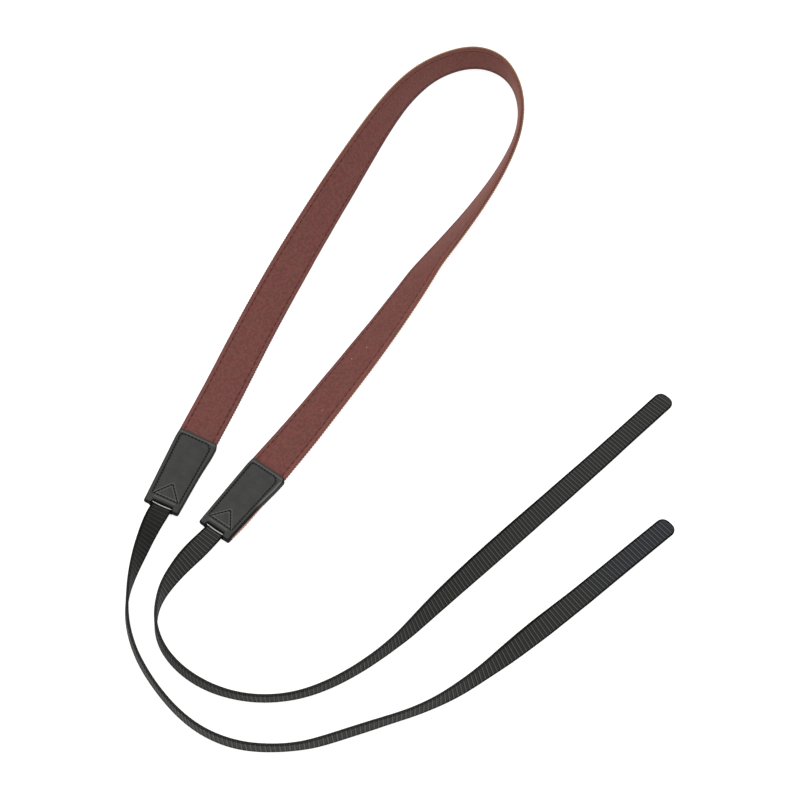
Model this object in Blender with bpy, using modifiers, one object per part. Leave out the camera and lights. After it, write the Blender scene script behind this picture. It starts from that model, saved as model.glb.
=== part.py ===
# A neck lanyard for a hand controller, laid loosely on a table: a brown neck band of two layers,
# a black leather tab folded round each of its ends, and a black ribbed tail out of each tab.
# Metres, +Z up. The table is z = 0, and the finished lanyard stands on it with the origin at
# the middle of its bounding box.
import math
from collections import namedtuple

import bpy
import bmesh
from mathutils import Matrix, Vector

# Neck band: a face layer and a ribbed backing, between the mouths of the two tabs
PAD_LENGTH = 0.607
PAD_WIDTH = 0.0198
FACE_THICKNESS = 0.0009
BACKING_THICKNESS = 0.0010
BACKING_OVERHANG = 0.0002
LAYER_GAP = 0.0003

# Leather end tabs, tapering from the band to the tail
TAB_LENGTH = 0.0420
TAB_WIDE_WIDTH = 0.0206
TAB_NARROW_WIDTH = 0.0181
LEAF_THICKNESS = 0.0007
TAB_THINNING = 0.0004
TAB_CORNER_RADIUS = 0.0018
TAB_CORNER_STEPS = 3
TAB_EDGE_ROUND = 0.0004
TAB_EDGE_ANGLE = 50.0
TAB_ROLL_LEFT = 12.0
TAB_ROLL_RIGHT = 0.0

# How far each layer runs into a tab, and the room round it there
FACE_TUCK = 0.0200
BACKING_TUCK = 0.0285
WEBBING_TUCK = 0.0120
TUCK_STEPS = 4
CLEARANCE = 0.0003
EDGE_INSET = 0.0004

# Black ribbed tails, from a tab's narrow end to the sealed tip
TAIL_LEFT_LENGTH = 0.3763
TAIL_RIGHT_LENGTH = 0.3762
WEBBING_WIDTH = 0.0101
WEBBING_THICKNESS = 0.0014
TIP_LENGTH = 0.0040
TIP_BLUNT_WIDTH = 0.0026

# How the lanyard lies: height is eased from a tab down to the table over this length
EASE_LENGTH = 0.030
STATION_SPACING = 0.0045
STEPS_PER_STATION = 6
TIP_STEPS = 6

# One row of a course: share of the length, heading in plan and bank of the ribbon, in degrees.
# Heading 0 is +X and 90 is +Y. Bank is how far the edge on the loop's outer side is raised.
Bend = namedtuple("Bend", "share heading bank")

PAD_COURSE = (
    Bend(0.000, 68.8, TAB_ROLL_LEFT),
    Bend(0.070, 69.0, 14),
    Bend(0.140, 67.0, 23),
    Bend(0.210, 65.3, 35),
    Bend(0.280, 64.1, 48),
    Bend(0.340, 62.8, 62),
    Bend(0.380, 59.0, 72),
    Bend(0.415, 49.2, 82),
    Bend(0.444, 34.3, 92),
    Bend(0.474, 11.3, 98),
    Bend(0.501, -30.3, 101),
    Bend(0.526, -65.4, 100),
    Bend(0.555, -85.4, 93),
    Bend(0.585, -100.0, 83),
    Bend(0.614, -110.1, 72.5),
    Bend(0.648, -116.8, 63.5),
    Bend(0.690, -122.0, 54),
    Bend(0.740, -125.3, 44),
    Bend(0.762, -124.6, 40),
    Bend(0.780, -120.6, 35),
    Bend(0.805, -121.3, 30),
    Bend(0.870, -123.4, 19),
    Bend(0.940, -124.5, 10),
    Bend(1.000, -126.0, TAB_ROLL_RIGHT),
)
TAIL_LEFT_COURSE = (
    Bend(0.00, -111.2, TAB_ROLL_LEFT),
    Bend(0.03, -108.5, 43),
    Bend(0.06, -105.5, 63),
    Bend(0.10, -98.7, 88),
    Bend(0.13, -89.0, 100),
    Bend(0.17, -74.0, 99),
    Bend(0.20, -64.5, 97),
    Bend(0.22, -58.5, 96),
    Bend(0.25, -52.5, 94),
    Bend(0.28, -46.5, 93),
    Bend(0.31, -38.0, 92),
    Bend(0.34, -27.0, 91),
    Bend(0.37, -15.5, 90),
    Bend(0.40, -4.5, 88),
    Bend(0.44, 6.0, 87),
    Bend(0.48, 17.0, 91),
    Bend(0.53, 18.4, 91),
    Bend(0.57, 18.9, 89),
    Bend(0.61, 25.6, 94),
    Bend(0.65, 33.3, 105),
    Bend(0.69, 38.0, 116),
    Bend(0.74, 40.2, 141),
    Bend(0.79, 40.1, 165),
    Bend(0.84, 39.7, 179),
    Bend(0.90, 40.0, 184),
    Bend(1.00, 40.0, 184),
)
TAIL_RIGHT_COURSE = (
    Bend(0.000, -126.0, TAB_ROLL_RIGHT),
    Bend(0.030, -127.0, 22),
    Bend(0.060, -124.3, 53),
    Bend(0.090, -116.2, 74),
    Bend(0.120, -98.9, 92),
    Bend(0.155, -73.7, 98),
    Bend(0.190, -51.6, 97),
    Bend(0.240, -29.9, 93),
    Bend(0.290, -11.9, 87),
    Bend(0.340, 5.8, 85),
    Bend(0.390, 22.6, 88),
    Bend(0.440, 33.2, 92),
    Bend(0.490, 40.6, 99),
    Bend(0.530, 46.2, 114),
    Bend(0.570, 45.7, 127),
    Bend(0.620, 44.6, 141),
    Bend(0.680, 44.0, 156),
    Bend(0.740, 43.6, 166),
    Bend(0.820, 43.7, 175),
    Bend(0.900, 43.9, 182),
    Bend(1.000, 44.0, 182),
)

# Colours as linear values, with roughness
BROWN_FACE = ((0.181, 0.065, 0.055), 0.85)
BROWN_RIBBED = ((0.160, 0.056, 0.045), 0.90)
BLACK_LEATHER = ((0.055, 0.055, 0.053), 0.45)
BLACK_WEBBING = ((0.030, 0.030, 0.029), 0.80)

UP = Vector((0.0, 0.0, 1.0))
BACKING_WIDTH = PAD_WIDTH + 2 * BACKING_OVERHANG
STACK_THICKNESS = FACE_THICKNESS + LAYER_GAP + BACKING_THICKNESS

# Heights inside a tab, above its underside
BACKING_FLOOR = LEAF_THICKNESS + CLEARANCE
STACK_MIDDLE = BACKING_FLOOR + STACK_THICKNESS / 2
TAB_WIDE_THICKNESS = BACKING_FLOOR + STACK_THICKNESS + CLEARANCE + LEAF_THICKNESS
TAB_NARROW_THICKNESS = TAB_WIDE_THICKNESS - TAB_THINNING
WEBBING_MIDDLE = TAB_NARROW_THICKNESS / 2


def clear_scene():
    for item in list(bpy.data.objects):
        bpy.data.objects.remove(item, do_unlink=True)


def make_collection(name):
    group = bpy.data.collections.new(name)
    bpy.context.scene.collection.children.link(group)
    return group


def make_material(name, look):
    colour, roughness = look
    material = bpy.data.materials.new(name)
    material.use_nodes = True
    shader = material.node_tree.nodes["Principled BSDF"]
    shader.inputs["Base Color"].default_value = (*colour, 1.0)
    shader.inputs["Roughness"].default_value = roughness
    return material


def slopes(shares, values):
    """Slope of a smooth curve at each row, from the rows on either side."""
    last = len(values) - 1
    found = []
    for i in range(len(values)):
        before = max(i - 1, 0)
        after = min(i + 1, last)
        found.append((values[after] - values[before]) / (shares[after] - shares[before]))
    return found


def smooth_reader(shares, values):
    """A function that reads a smooth curve through the rows."""
    steep = slopes(shares, values)

    def read(share):
        share = min(max(share, shares[0]), shares[-1])
        i = 0
        while i < len(shares) - 2 and share > shares[i + 1]:
            i += 1
        span = shares[i + 1] - shares[i]
        t = (share - shares[i]) / span
        start = (1 + 2 * t) * (1 - t) ** 2 * values[i] + t * (1 - t) ** 2 * span * steep[i]
        end = t * t * (3 - 2 * t) * values[i + 1] - t * t * (1 - t) * span * steep[i + 1]
        return start + end

    return read


class Station:
    """One cross-section of a ribbon: its middle, its outward direction across and its face normal."""

    def __init__(self, along, x, y, heading, bank, outer_side):
        self.along = along
        self.x = x
        self.y = y
        self.z = 0.0
        self.heading = heading
        self.bank = bank
        turn = math.radians(heading)
        self.forward = Vector((math.cos(turn), math.sin(turn), 0.0))
        outward = UP.cross(self.forward) * outer_side
        tilt = math.radians(bank)
        self.across = outward * math.cos(tilt) + UP * math.sin(tilt)
        self.normal = UP * math.cos(tilt) - outward * math.sin(tilt)

    def middle(self):
        return Vector((self.x, self.y, self.z))


def lying_height(bank, width, thickness):
    """Height of a ribbon's middle when its lowest corner touches the table."""
    tilt = math.radians(bank)
    return abs(math.sin(tilt)) * width / 2 + abs(math.cos(tilt)) * thickness / 2


def ease(share):
    share = min(max(share, 0.0), 1.0)
    return 1 - share * share * (3 - 2 * share)


def distances(length, tip):
    """Even distances along a course, with closer ones over a rounded tip."""
    plain = length - tip
    count = max(2, round(plain / STATION_SPACING))
    found = [plain * i / count for i in range(count + 1)]
    if tip:
        found += [plain + tip * math.sin(math.pi / 2 * i / TIP_STEPS) for i in range(1, TIP_STEPS + 1)]
    return found


def walk(course, length, start, outer_side, width, thickness, tip=0.0):
    """Stations along a course that starts at a point, lying on the table except near its start."""
    shares = [row.share for row in course]
    heading_at = smooth_reader(shares, [row.heading for row in course])
    bank_at = smooth_reader(shares, [row.bank for row in course])
    x, y = start.x, start.y
    reached = 0.0
    stations = []
    for along in distances(length, tip):
        step = (along - reached) / STEPS_PER_STATION
        for i in range(STEPS_PER_STATION):
            turn = math.radians(heading_at((reached + (i + 0.5) * step) / length))
            x += step * math.cos(turn)
            y += step * math.sin(turn)
        reached = along
        share = along / length
        stations.append(Station(along, x, y, heading_at(share), bank_at(share), outer_side))
    lift = start.z - lying_height(stations[0].bank, width, thickness)
    for station in stations:
        station.z = lying_height(station.bank, width, thickness)
        station.z += lift * ease(station.along / EASE_LENGTH)
    return stations


def lift_end(stations, height, width, thickness):
    """Ease the last stretch of a course up to the height of the tab that it enters."""
    end = stations[-1].along
    lift = height - lying_height(stations[-1].bank, width, thickness)
    for station in stations:
        station.z += lift * ease((end - station.along) / EASE_LENGTH)


def tab_width(depth):
    """Width of a tab at a depth from its wide end."""
    return TAB_WIDE_WIDTH + (TAB_NARROW_WIDTH - TAB_WIDE_WIDTH) * depth / TAB_LENGTH


def tab_frame(station, point, roll, outer_side, inward):
    """Placing of a tab: origin under the middle of its wide end, X into the tab, Z out of its face."""
    into = station.forward * inward
    turn = math.radians(roll)
    outward = UP.cross(station.forward) * outer_side
    across = outward * math.cos(turn) + UP * math.sin(turn)
    normal = UP * math.cos(turn) - outward * math.sin(turn)
    side = normal.cross(into)
    frame = Matrix((into, side, normal)).transposed().to_4x4()
    frame.translation = point
    return frame


def section(station, width, offset):
    """Left, middle and right points of a ribbon's section, at an offset along its normal."""
    centre = station.middle() + station.normal * offset
    half = station.across * width / 2
    return [centre - half, centre, centre + half]


def straight_on(station, distance):
    """A copy of a station moved straight ahead, or back for a negative distance."""
    copy = Station(station.along + distance, station.x, station.y, station.heading, 0.0, 1)
    copy.x += station.forward.x * distance
    copy.y += station.forward.y * distance
    copy.z = station.z
    copy.bank = station.bank
    copy.across = station.across
    copy.normal = station.normal
    return copy


def ribbon(name, rows, thickness, material, group):
    """A ribbon of even thickness through rows of three points."""
    mesh = bpy.data.meshes.new(name)
    shape = bmesh.new()
    grid = [[shape.verts.new(point) for point in row] for row in rows]
    for low, high in zip(grid, grid[1:]):
        for i in range(len(low) - 1):
            shape.faces.new((low[i], high[i], high[i + 1], low[i + 1]))
    bmesh.ops.recalc_face_normals(shape, faces=shape.faces)
    shape.to_mesh(mesh)
    shape.free()
    mesh.materials.append(material)
    item = bpy.data.objects.new(name, mesh)
    group.objects.link(item)
    shell = item.modifiers.new("thickness", "SOLIDIFY")
    shell.thickness = thickness
    shell.offset = 0.0
    shell.use_even_offset = True
    return item


def layer(name, stations, width, tuck, offset, thickness, material, group):
    """One layer of the neck band, with a tapering end tucked into each tab."""
    depths = [tuck * i / TUCK_STEPS for i in range(TUCK_STEPS, 0, -1)]
    rows = []
    for depth in depths:
        inside = min(width, tab_width(depth) - 2 * EDGE_INSET)
        rows.append(section(straight_on(stations[0], -depth), inside, offset))
    mouth = min(width, tab_width(0.0) - 2 * EDGE_INSET)
    for i, station in enumerate(stations):
        at_mouth = i in (0, len(stations) - 1)
        rows.append(section(station, mouth if at_mouth else width, offset))
    for depth in reversed(depths):
        inside = min(width, tab_width(depth) - 2 * EDGE_INSET)
        rows.append(section(straight_on(stations[-1], depth), inside, offset))
    return ribbon(name, rows, thickness, material, group)


def tail(name, stations, length, material, group):
    """A ribbed tail: a straight root inside the tab, the course, and an oval tip."""
    rows = [section(straight_on(stations[0], -WEBBING_TUCK), WEBBING_WIDTH, 0.0)]
    for station in stations:
        into_tip = max(0.0, station.along - (length - TIP_LENGTH)) / TIP_LENGTH
        oval = math.sqrt(max(0.0, 1 - into_tip ** 2))
        rows.append(section(station, TIP_BLUNT_WIDTH + (WEBBING_WIDTH - TIP_BLUNT_WIDTH) * oval, 0.0))
    return ribbon(name, rows, WEBBING_THICKNESS, material, group)


def box(name, low, high, group, placing):
    """A closed box between two corners of a placing."""
    mesh = bpy.data.meshes.new(name)
    shape = bmesh.new()
    bmesh.ops.create_cube(shape, size=1.0)
    for vertex in shape.verts:
        for axis in range(3):
            share = vertex.co[axis] + 0.5
            vertex.co[axis] = low[axis] + (high[axis] - low[axis]) * share
    shape.to_mesh(mesh)
    shape.free()
    item = bpy.data.objects.new(name, mesh)
    item.matrix_world = placing
    group.objects.link(item)
    return item


def tab_blank(name, placing, group):
    """The tab before its slots are cut: a tapering block with rounded corners and edges."""
    item = box(name, (0, -0.5, 0), (TAB_LENGTH, 0.5, 1), group, placing)
    for vertex in item.data.vertices:
        share = vertex.co.x / TAB_LENGTH
        top = TAB_WIDE_THICKNESS + (TAB_NARROW_THICKNESS - TAB_WIDE_THICKNESS) * share
        vertex.co.y *= tab_width(vertex.co.x)
        vertex.co.z *= top
    shape = bmesh.new()
    shape.from_mesh(item.data)
    upright = [edge for edge in shape.edges
               if abs(edge.verts[0].co.z - edge.verts[1].co.z) > LEAF_THICKNESS]
    bmesh.ops.bevel(shape, geom=upright, offset=TAB_CORNER_RADIUS, segments=TAB_CORNER_STEPS,
                    profile=0.5, affect="EDGES")
    shape.to_mesh(item.data)
    shape.free()
    rounding = item.modifiers.new("rounded edges", "BEVEL")
    rounding.width = TAB_EDGE_ROUND
    rounding.segments = 1
    rounding.limit_method = "ANGLE"
    rounding.angle_limit = math.radians(TAB_EDGE_ANGLE)
    return item


def cut(item, cutter):
    cutter.hide_render = True
    cutter.display_type = "WIRE"
    slot = item.modifiers.new(cutter.name, "BOOLEAN")
    slot.operation = "DIFFERENCE"
    slot.solver = "EXACT"
    slot.object = cutter


def end_tab(name, placing, material, group, cutters):
    """A leather tab: slots for the two band layers, open at the sides, and a pocket for the tail."""
    item = tab_blank(name, placing, group)
    item.data.materials.append(material)
    beyond = TAB_WIDE_WIDTH
    backing_top = BACKING_FLOOR + BACKING_THICKNESS
    face_top = backing_top + LAYER_GAP + FACE_THICKNESS
    cut(item, box(name + "_backing_slot", (-beyond, -beyond, BACKING_FLOOR - CLEARANCE),
                  (BACKING_TUCK + CLEARANCE, beyond, backing_top + CLEARANCE), cutters, placing))
    cut(item, box(name + "_face_slot", (-beyond, -beyond, backing_top),
                  (FACE_TUCK + CLEARANCE, beyond, face_top + CLEARANCE), cutters, placing))
    half = WEBBING_WIDTH / 2 + CLEARANCE
    root = TAB_LENGTH - WEBBING_TUCK - CLEARANCE
    web_floor = WEBBING_MIDDLE - WEBBING_THICKNESS / 2 - CLEARANCE
    web_top = WEBBING_MIDDLE + WEBBING_THICKNESS / 2 + CLEARANCE
    cut(item, box(name + "_webbing_pocket", (root, -half, web_floor),
                  (TAB_LENGTH + beyond, half, web_top), cutters, placing))
    return item


def set_down(items, moved):
    """Move everything so that the origin is at the middle of the box's bottom face."""
    bpy.context.view_layer.update()
    graph = bpy.context.evaluated_depsgraph_get()
    points = []
    for item in items:
        solid = item.evaluated_get(graph)
        points.extend(solid.matrix_world @ vertex.co for vertex in solid.data.vertices)
    low = Vector([min(point[axis] for point in points) for axis in range(3)])
    high = Vector([max(point[axis] for point in points) for axis in range(3)])
    shift = Vector((-(low.x + high.x) / 2, -(low.y + high.y) / 2, -low.z))
    for item in moved:
        item.matrix_world = Matrix.Translation(shift) @ item.matrix_world


def build():
    clear_scene()
    parts = make_collection("neck_lanyard")
    cutters = make_collection("cutters")
    face = make_material("brown_face", BROWN_FACE)
    ribbed = make_material("brown_ribbed", BROWN_RIBBED)
    leather = make_material("black_leather", BLACK_LEATHER)
    black = make_material("black_webbing", BLACK_WEBBING)

    # The left tab lies at its roll, with its lower edge on the table
    roll_height = TAB_WIDE_WIDTH / 2 * math.sin(math.radians(TAB_ROLL_LEFT))
    left_end = Station(0.0, 0.0, 0.0, PAD_COURSE[0].heading, TAB_ROLL_LEFT, 1)
    left_placing = tab_frame(left_end, Vector((0.0, 0.0, roll_height)), TAB_ROLL_LEFT, 1, -1)

    pad_start = left_placing @ Vector((0.0, 0.0, STACK_MIDDLE))
    pad = walk(PAD_COURSE, PAD_LENGTH, pad_start, 1, BACKING_WIDTH, STACK_THICKNESS)
    right_height = TAB_WIDE_WIDTH / 2 * math.sin(math.radians(TAB_ROLL_RIGHT))
    right_middle = right_height + STACK_MIDDLE * math.cos(math.radians(TAB_ROLL_RIGHT))
    lift_end(pad, right_middle, BACKING_WIDTH, STACK_THICKNESS)
    right_origin = pad[-1].middle() - pad[-1].normal * STACK_MIDDLE
    right_placing = tab_frame(pad[-1], right_origin, TAB_ROLL_RIGHT, 1, 1)

    tail_root = Vector((TAB_LENGTH, 0.0, WEBBING_MIDDLE))
    left = walk(TAIL_LEFT_COURSE, TAIL_LEFT_LENGTH, left_placing @ tail_root, -1,
                WEBBING_WIDTH, WEBBING_THICKNESS, TIP_LENGTH)
    right = walk(TAIL_RIGHT_COURSE, TAIL_RIGHT_LENGTH, right_placing @ tail_root, -1,
                 WEBBING_WIDTH, WEBBING_THICKNESS, TIP_LENGTH)

    face_offset = STACK_THICKNESS / 2 - FACE_THICKNESS / 2
    backing_offset = BACKING_THICKNESS / 2 - STACK_THICKNESS / 2
    items = [
        layer("neck_pad", pad, PAD_WIDTH, FACE_TUCK, face_offset, FACE_THICKNESS, face, parts),
        layer("pad_backing", pad, BACKING_WIDTH, BACKING_TUCK, backing_offset,
              BACKING_THICKNESS, ribbed, parts),
        end_tab("end_tab_left", left_placing, leather, parts, cutters),
        end_tab("end_tab_right", right_placing, leather, parts, cutters),
        tail("webbing_left", left, TAIL_LEFT_LENGTH, black, parts),
        tail("webbing_right", right, TAIL_RIGHT_LENGTH, black, parts),
    ]
    set_down(items, list(parts.objects) + list(cutters.objects))


build()
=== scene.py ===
# Looks of the neck lanyard: a sewn brown band with a ribbed backing, two black leather end tabs
# and two black grosgrain tails. Metres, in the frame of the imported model.
import math
from collections import namedtuple

import bpy
import numpy as np
from mathutils import Matrix, Vector


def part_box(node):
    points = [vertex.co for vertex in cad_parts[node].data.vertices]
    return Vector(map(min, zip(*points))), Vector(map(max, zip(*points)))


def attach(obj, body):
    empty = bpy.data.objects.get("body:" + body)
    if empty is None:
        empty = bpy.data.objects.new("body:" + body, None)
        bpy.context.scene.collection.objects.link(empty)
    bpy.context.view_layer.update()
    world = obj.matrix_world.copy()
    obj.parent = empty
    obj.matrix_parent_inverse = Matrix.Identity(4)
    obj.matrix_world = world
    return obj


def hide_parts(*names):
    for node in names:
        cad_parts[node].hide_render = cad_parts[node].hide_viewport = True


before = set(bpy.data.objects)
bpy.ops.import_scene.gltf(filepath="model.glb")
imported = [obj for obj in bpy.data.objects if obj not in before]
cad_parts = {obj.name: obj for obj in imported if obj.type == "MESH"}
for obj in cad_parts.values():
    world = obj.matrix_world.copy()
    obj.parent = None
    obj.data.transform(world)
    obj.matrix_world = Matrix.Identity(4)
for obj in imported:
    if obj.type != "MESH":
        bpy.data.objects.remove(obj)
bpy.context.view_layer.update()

# Neck band
PAD_LENGTH = 0.607
PAD_WIDTH = 0.0198
BACKING_WIDTH = 0.0202
STACK_THICKNESS = 0.0022
HALF_LAYER_GAP = 0.00003
FACE_TUCK = 0.024
BACKING_TUCK_LEFT = 0.034
BACKING_TUCK_RIGHT = 0.0395
TUCKED_INSET = 0.0014
PAD_SEAM_INSET = 0.0021
PAD_STITCH_PITCH = 0.0037
PAD_THREAD_RADIUS = 0.0002
PAD_THREAD_SINK = 0.00024
BACKING_RIB_PITCH = 0.0016
BACKING_RIB_DEPTH = 0.00016

# Leather end tabs
TAB_LENGTH = 0.042
TAB_WIDE_WIDTH = 0.0206
TAB_NARROW_WIDTH = 0.0181
TAB_WIDE_THICKNESS = 0.0042
TAB_NARROW_THICKNESS = 0.0038
LEAF_THICKNESS = 0.0007
THINNEST_LEAF = 0.00005
LEAF_MARGIN = 0.0011
TAB_ROLL_LEFT = 12.0
TAB_ROLL_RIGHT = 0.0
TAB_SEAM_INSET = 0.0022
TAB_SEAM_END = 0.0366
TAB_STITCH_PITCH = 0.0017
TAB_THREAD_RADIUS = 0.00029
TAB_THREAD_SINK = 0.00034
TRIANGLE_APEX = 0.0288
TRIANGLE_HALF = 0.0062
LIP_END = 0.0402
LIP_ROLL_DEPTH = 0.04085
LIP_ROLL_RADIUS = 0.00027
NOTCH_HALF = 0.0055
STACK_MIDDLE = 0.0021
WEBBING_MIDDLE = 0.0019

# Black tails
TAIL_LEFT_LENGTH = 0.3763
TAIL_RIGHT_LENGTH = 0.3762
WEBBING_WIDTH = 0.0101
WEBBING_THICKNESS = 0.0014
WEBBING_TUCK = 0.012
TIP_LENGTH = 0.004
TIP_BLUNT_WIDTH = 0.0026
SEALED_LENGTH = 0.0026
RIB_PITCH_LEFT = 0.0021
RIB_PITCH_RIGHT = 0.00195
TAIL_RIB_DEPTH = 0.00022

# Courses: how far from a tab a strap settles on the table, and the step of the sums
EASE_LENGTH = 0.03
COURSE_STEP = 0.00025

FLOOR_SIZE = 6.0
FLOOR_HEIGHT = -0.0001

# One row of a course: share of the length, heading in plan and bank of the ribbon, in degrees
PAD_COURSE = (
    (0.0, 68.8, TAB_ROLL_LEFT), (0.07, 69.0, 14), (0.14, 67.0, 23), (0.21, 65.3, 35),
    (0.28, 64.1, 48), (0.34, 62.8, 62), (0.38, 59.0, 72), (0.415, 49.2, 82),
    (0.444, 34.3, 92), (0.474, 11.3, 98), (0.501, -30.3, 101), (0.526, -65.4, 100),
    (0.555, -85.4, 93), (0.585, -100.0, 83), (0.614, -110.1, 72.5), (0.648, -116.8, 63.5),
    (0.69, -122.0, 54), (0.74, -125.3, 44), (0.762, -124.6, 40), (0.78, -120.6, 35),
    (0.805, -121.3, 30), (0.87, -123.4, 19), (0.94, -124.5, 10), (1.0, -126.0, TAB_ROLL_RIGHT),
)
TAIL_LEFT_COURSE = (
    (0.0, -111.2, TAB_ROLL_LEFT), (0.03, -108.5, 43), (0.06, -105.5, 63), (0.1, -98.7, 88),
    (0.13, -89.0, 100), (0.17, -74.0, 99), (0.2, -64.5, 97), (0.22, -58.5, 96),
    (0.25, -52.5, 94), (0.28, -46.5, 93), (0.31, -38.0, 92), (0.34, -27.0, 91),
    (0.37, -15.5, 90), (0.4, -4.5, 88), (0.44, 6.0, 87), (0.48, 17.0, 91),
    (0.53, 18.4, 91), (0.57, 18.9, 89), (0.61, 25.6, 94), (0.65, 33.3, 105),
    (0.69, 38.0, 116), (0.74, 40.2, 141), (0.79, 40.1, 165), (0.84, 39.7, 179),
    (0.9, 40.0, 184), (1.0, 40.0, 184),
)
TAIL_RIGHT_COURSE = (
    (0.0, -126.0, TAB_ROLL_RIGHT), (0.03, -127.0, 22), (0.06, -124.3, 53), (0.09, -116.2, 74),
    (0.12, -98.9, 92), (0.155, -73.7, 98), (0.19, -51.6, 97), (0.24, -29.9, 93),
    (0.29, -11.9, 87), (0.34, 5.8, 85), (0.39, 22.6, 88), (0.44, 33.2, 92),
    (0.49, 40.6, 99), (0.53, 46.2, 114), (0.57, 45.7, 127), (0.62, 44.6, 141),
    (0.68, 44.0, 156), (0.74, 43.6, 166), (0.82, 43.7, 175), (0.9, 43.9, 182),
    (1.0, 44.0, 182),
)


# Curves and courses

def smooth(shares, values, at):
    """Read a smooth curve through the rows, as the solids' own courses are read."""
    shares = np.array(shares, float)
    values = np.array(values, float)
    last = len(values) - 1
    before = np.maximum(np.arange(last + 1) - 1, 0)
    after = np.minimum(np.arange(last + 1) + 1, last)
    steep = (values[after] - values[before]) / (shares[after] - shares[before])
    at = np.clip(at, shares[0], shares[-1])
    i = np.clip(np.searchsorted(shares, at, side="left") - 1, 0, last - 1)
    span = shares[i + 1] - shares[i]
    t = (at - shares[i]) / span
    start = (1 + 2 * t) * (1 - t) ** 2 * values[i] + t * (1 - t) ** 2 * span * steep[i]
    end = t * t * (3 - 2 * t) * values[i + 1] - t * t * (1 - t) * span * steep[i + 1]
    return start + end


def rise(t):
    """0 below 0, 1 above 1, and a smooth step between them."""
    t = np.clip(t, 0.0, 1.0)
    return t * t * (3 - 2 * t)


def drop(t):
    """1 below 0, 0 above 1, and the same smooth step between them."""
    return 1 - rise(t)


def quarter(t):
    """Height of a quarter circle, from 0 at its foot to 1 at its top."""
    t = np.clip(t, 0.0, 1.0)
    return np.sqrt(1 - (1 - t) ** 2)


def hump(t, width):
    """A rounded hump of height 1 round 0."""
    return np.exp(-(t / width) ** 2)


def wobble(along, seed):
    """A slow, uneven wave between about -1 and 1."""
    total = np.zeros_like(along)
    for period, weight in ((0.071, 0.5), (0.0293, 0.3), (0.0117, 0.2)):
        total = total + weight * np.sin(2 * np.pi * along / period + seed * (1 + period * 40))
    return total


def lying_height(bank, width, thickness):
    """How high a ribbon's middle is when its lower edge touches the table."""
    tilt = np.radians(bank)
    return np.abs(np.sin(tilt)) * width / 2 + np.abs(np.cos(tilt)) * thickness / 2


class Course:
    """Where a strap's middle runs on the table and how it leans, at any distance along it."""

    def __init__(self, rows, length, start, outer_side, width, thickness, end_height=None):
        self.length = length
        self.outer_side = outer_side
        count = round(length / COURSE_STEP)
        self.along = np.linspace(0.0, length, count + 1)
        shares, headings, banks = zip(*rows)
        middles = (self.along[1:] + self.along[:-1]) / 2 / length
        turn = np.radians(smooth(shares, headings, middles))
        step = length / count
        self.x = start[0] + np.concatenate(([0.0], np.cumsum(np.cos(turn) * step)))
        self.y = start[1] + np.concatenate(([0.0], np.cumsum(np.sin(turn) * step)))
        self.heading = smooth(shares, headings, self.along / length)
        self.bank = smooth(shares, banks, self.along / length)
        height = lying_height(self.bank, width, thickness)
        lift = start[2] - height[0]
        self.z = height + lift * drop(self.along / EASE_LENGTH)
        if end_height is not None:
            self.z += (end_height - height[-1]) * drop((length - self.along) / EASE_LENGTH)

    def at(self, along):
        """Middle, forward, across and normal at each distance, straight on past the ends."""
        inside = np.clip(along, 0.0, self.length)
        turn = np.radians(np.interp(inside, self.along, self.heading))
        tilt = np.radians(np.interp(inside, self.along, self.bank))[:, None]
        zero = np.zeros_like(turn)
        up = np.array([0.0, 0.0, 1.0])
        forward = np.stack([np.cos(turn), np.sin(turn), zero], axis=1)
        outward = np.stack([-np.sin(turn), np.cos(turn), zero], axis=1) * self.outer_side
        across = outward * np.cos(tilt) + up * np.sin(tilt)
        normal = up * np.cos(tilt) - outward * np.sin(tilt)
        middle = np.stack([np.interp(inside, self.along, values)
                           for values in (self.x, self.y, self.z)], axis=1)
        return middle + forward * (along - inside)[:, None], forward, across, normal

    def move(self, shift):
        self.x += shift[0]
        self.y += shift[1]
        self.z += shift[2]

    def surface(self, along, across, height):
        """Points at offsets across the strap and along its normal, one row for each distance."""
        middle, _, side, normal = self.at(along)
        return (middle[:, None, :] + side[:, None, :] * across[:, :, None]
                + normal[:, None, :] * height[:, :, None])


def tab_placing(heading, roll, inward, point):
    """Origin under the middle of the tab's wide end, X into the tab and Z out of its face."""
    heading = math.radians(heading)
    into = Vector((math.cos(heading), math.sin(heading), 0.0)) * inward
    outward = Vector((-math.sin(heading), math.cos(heading), 0.0))
    turn = math.radians(roll)
    normal = Vector((0, 0, 1)) * math.cos(turn) - outward * math.sin(turn)
    placing = Matrix((into, normal.cross(into), normal)).transposed().to_4x4()
    placing.translation = point
    return placing


# Meshes

def make_object(name, points, faces, material, notes=None):
    """An object of one material, with its points' notes kept as attributes."""
    mesh = bpy.data.meshes.new(name)
    mesh.from_pydata(points.tolist(), [], faces)
    mesh.materials.append(material)
    mesh.shade_smooth()
    for title, values in (notes or {}).items():
        values = np.asarray(values, np.float32)
        vector = values.ndim == 2
        layer = mesh.attributes.new(title, "FLOAT_VECTOR" if vector else "FLOAT", "POINT")
        layer.data.foreach_set("vector" if vector else "value", values.ravel())
    item = bpy.data.objects.new(name, mesh)
    bpy.context.scene.collection.objects.link(item)
    return item


def facing_out(points, faces):
    """The same faces, turned round if the closed skin that they make is inside out."""
    a, b, c, d = (points[faces[:, k]] for k in range(4))
    volume = np.einsum("ij,ij->", a, np.cross(b, c)) + np.einsum("ij,ij->", a, np.cross(c, d))
    return faces if volume > 0 else faces[:, ::-1]


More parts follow.
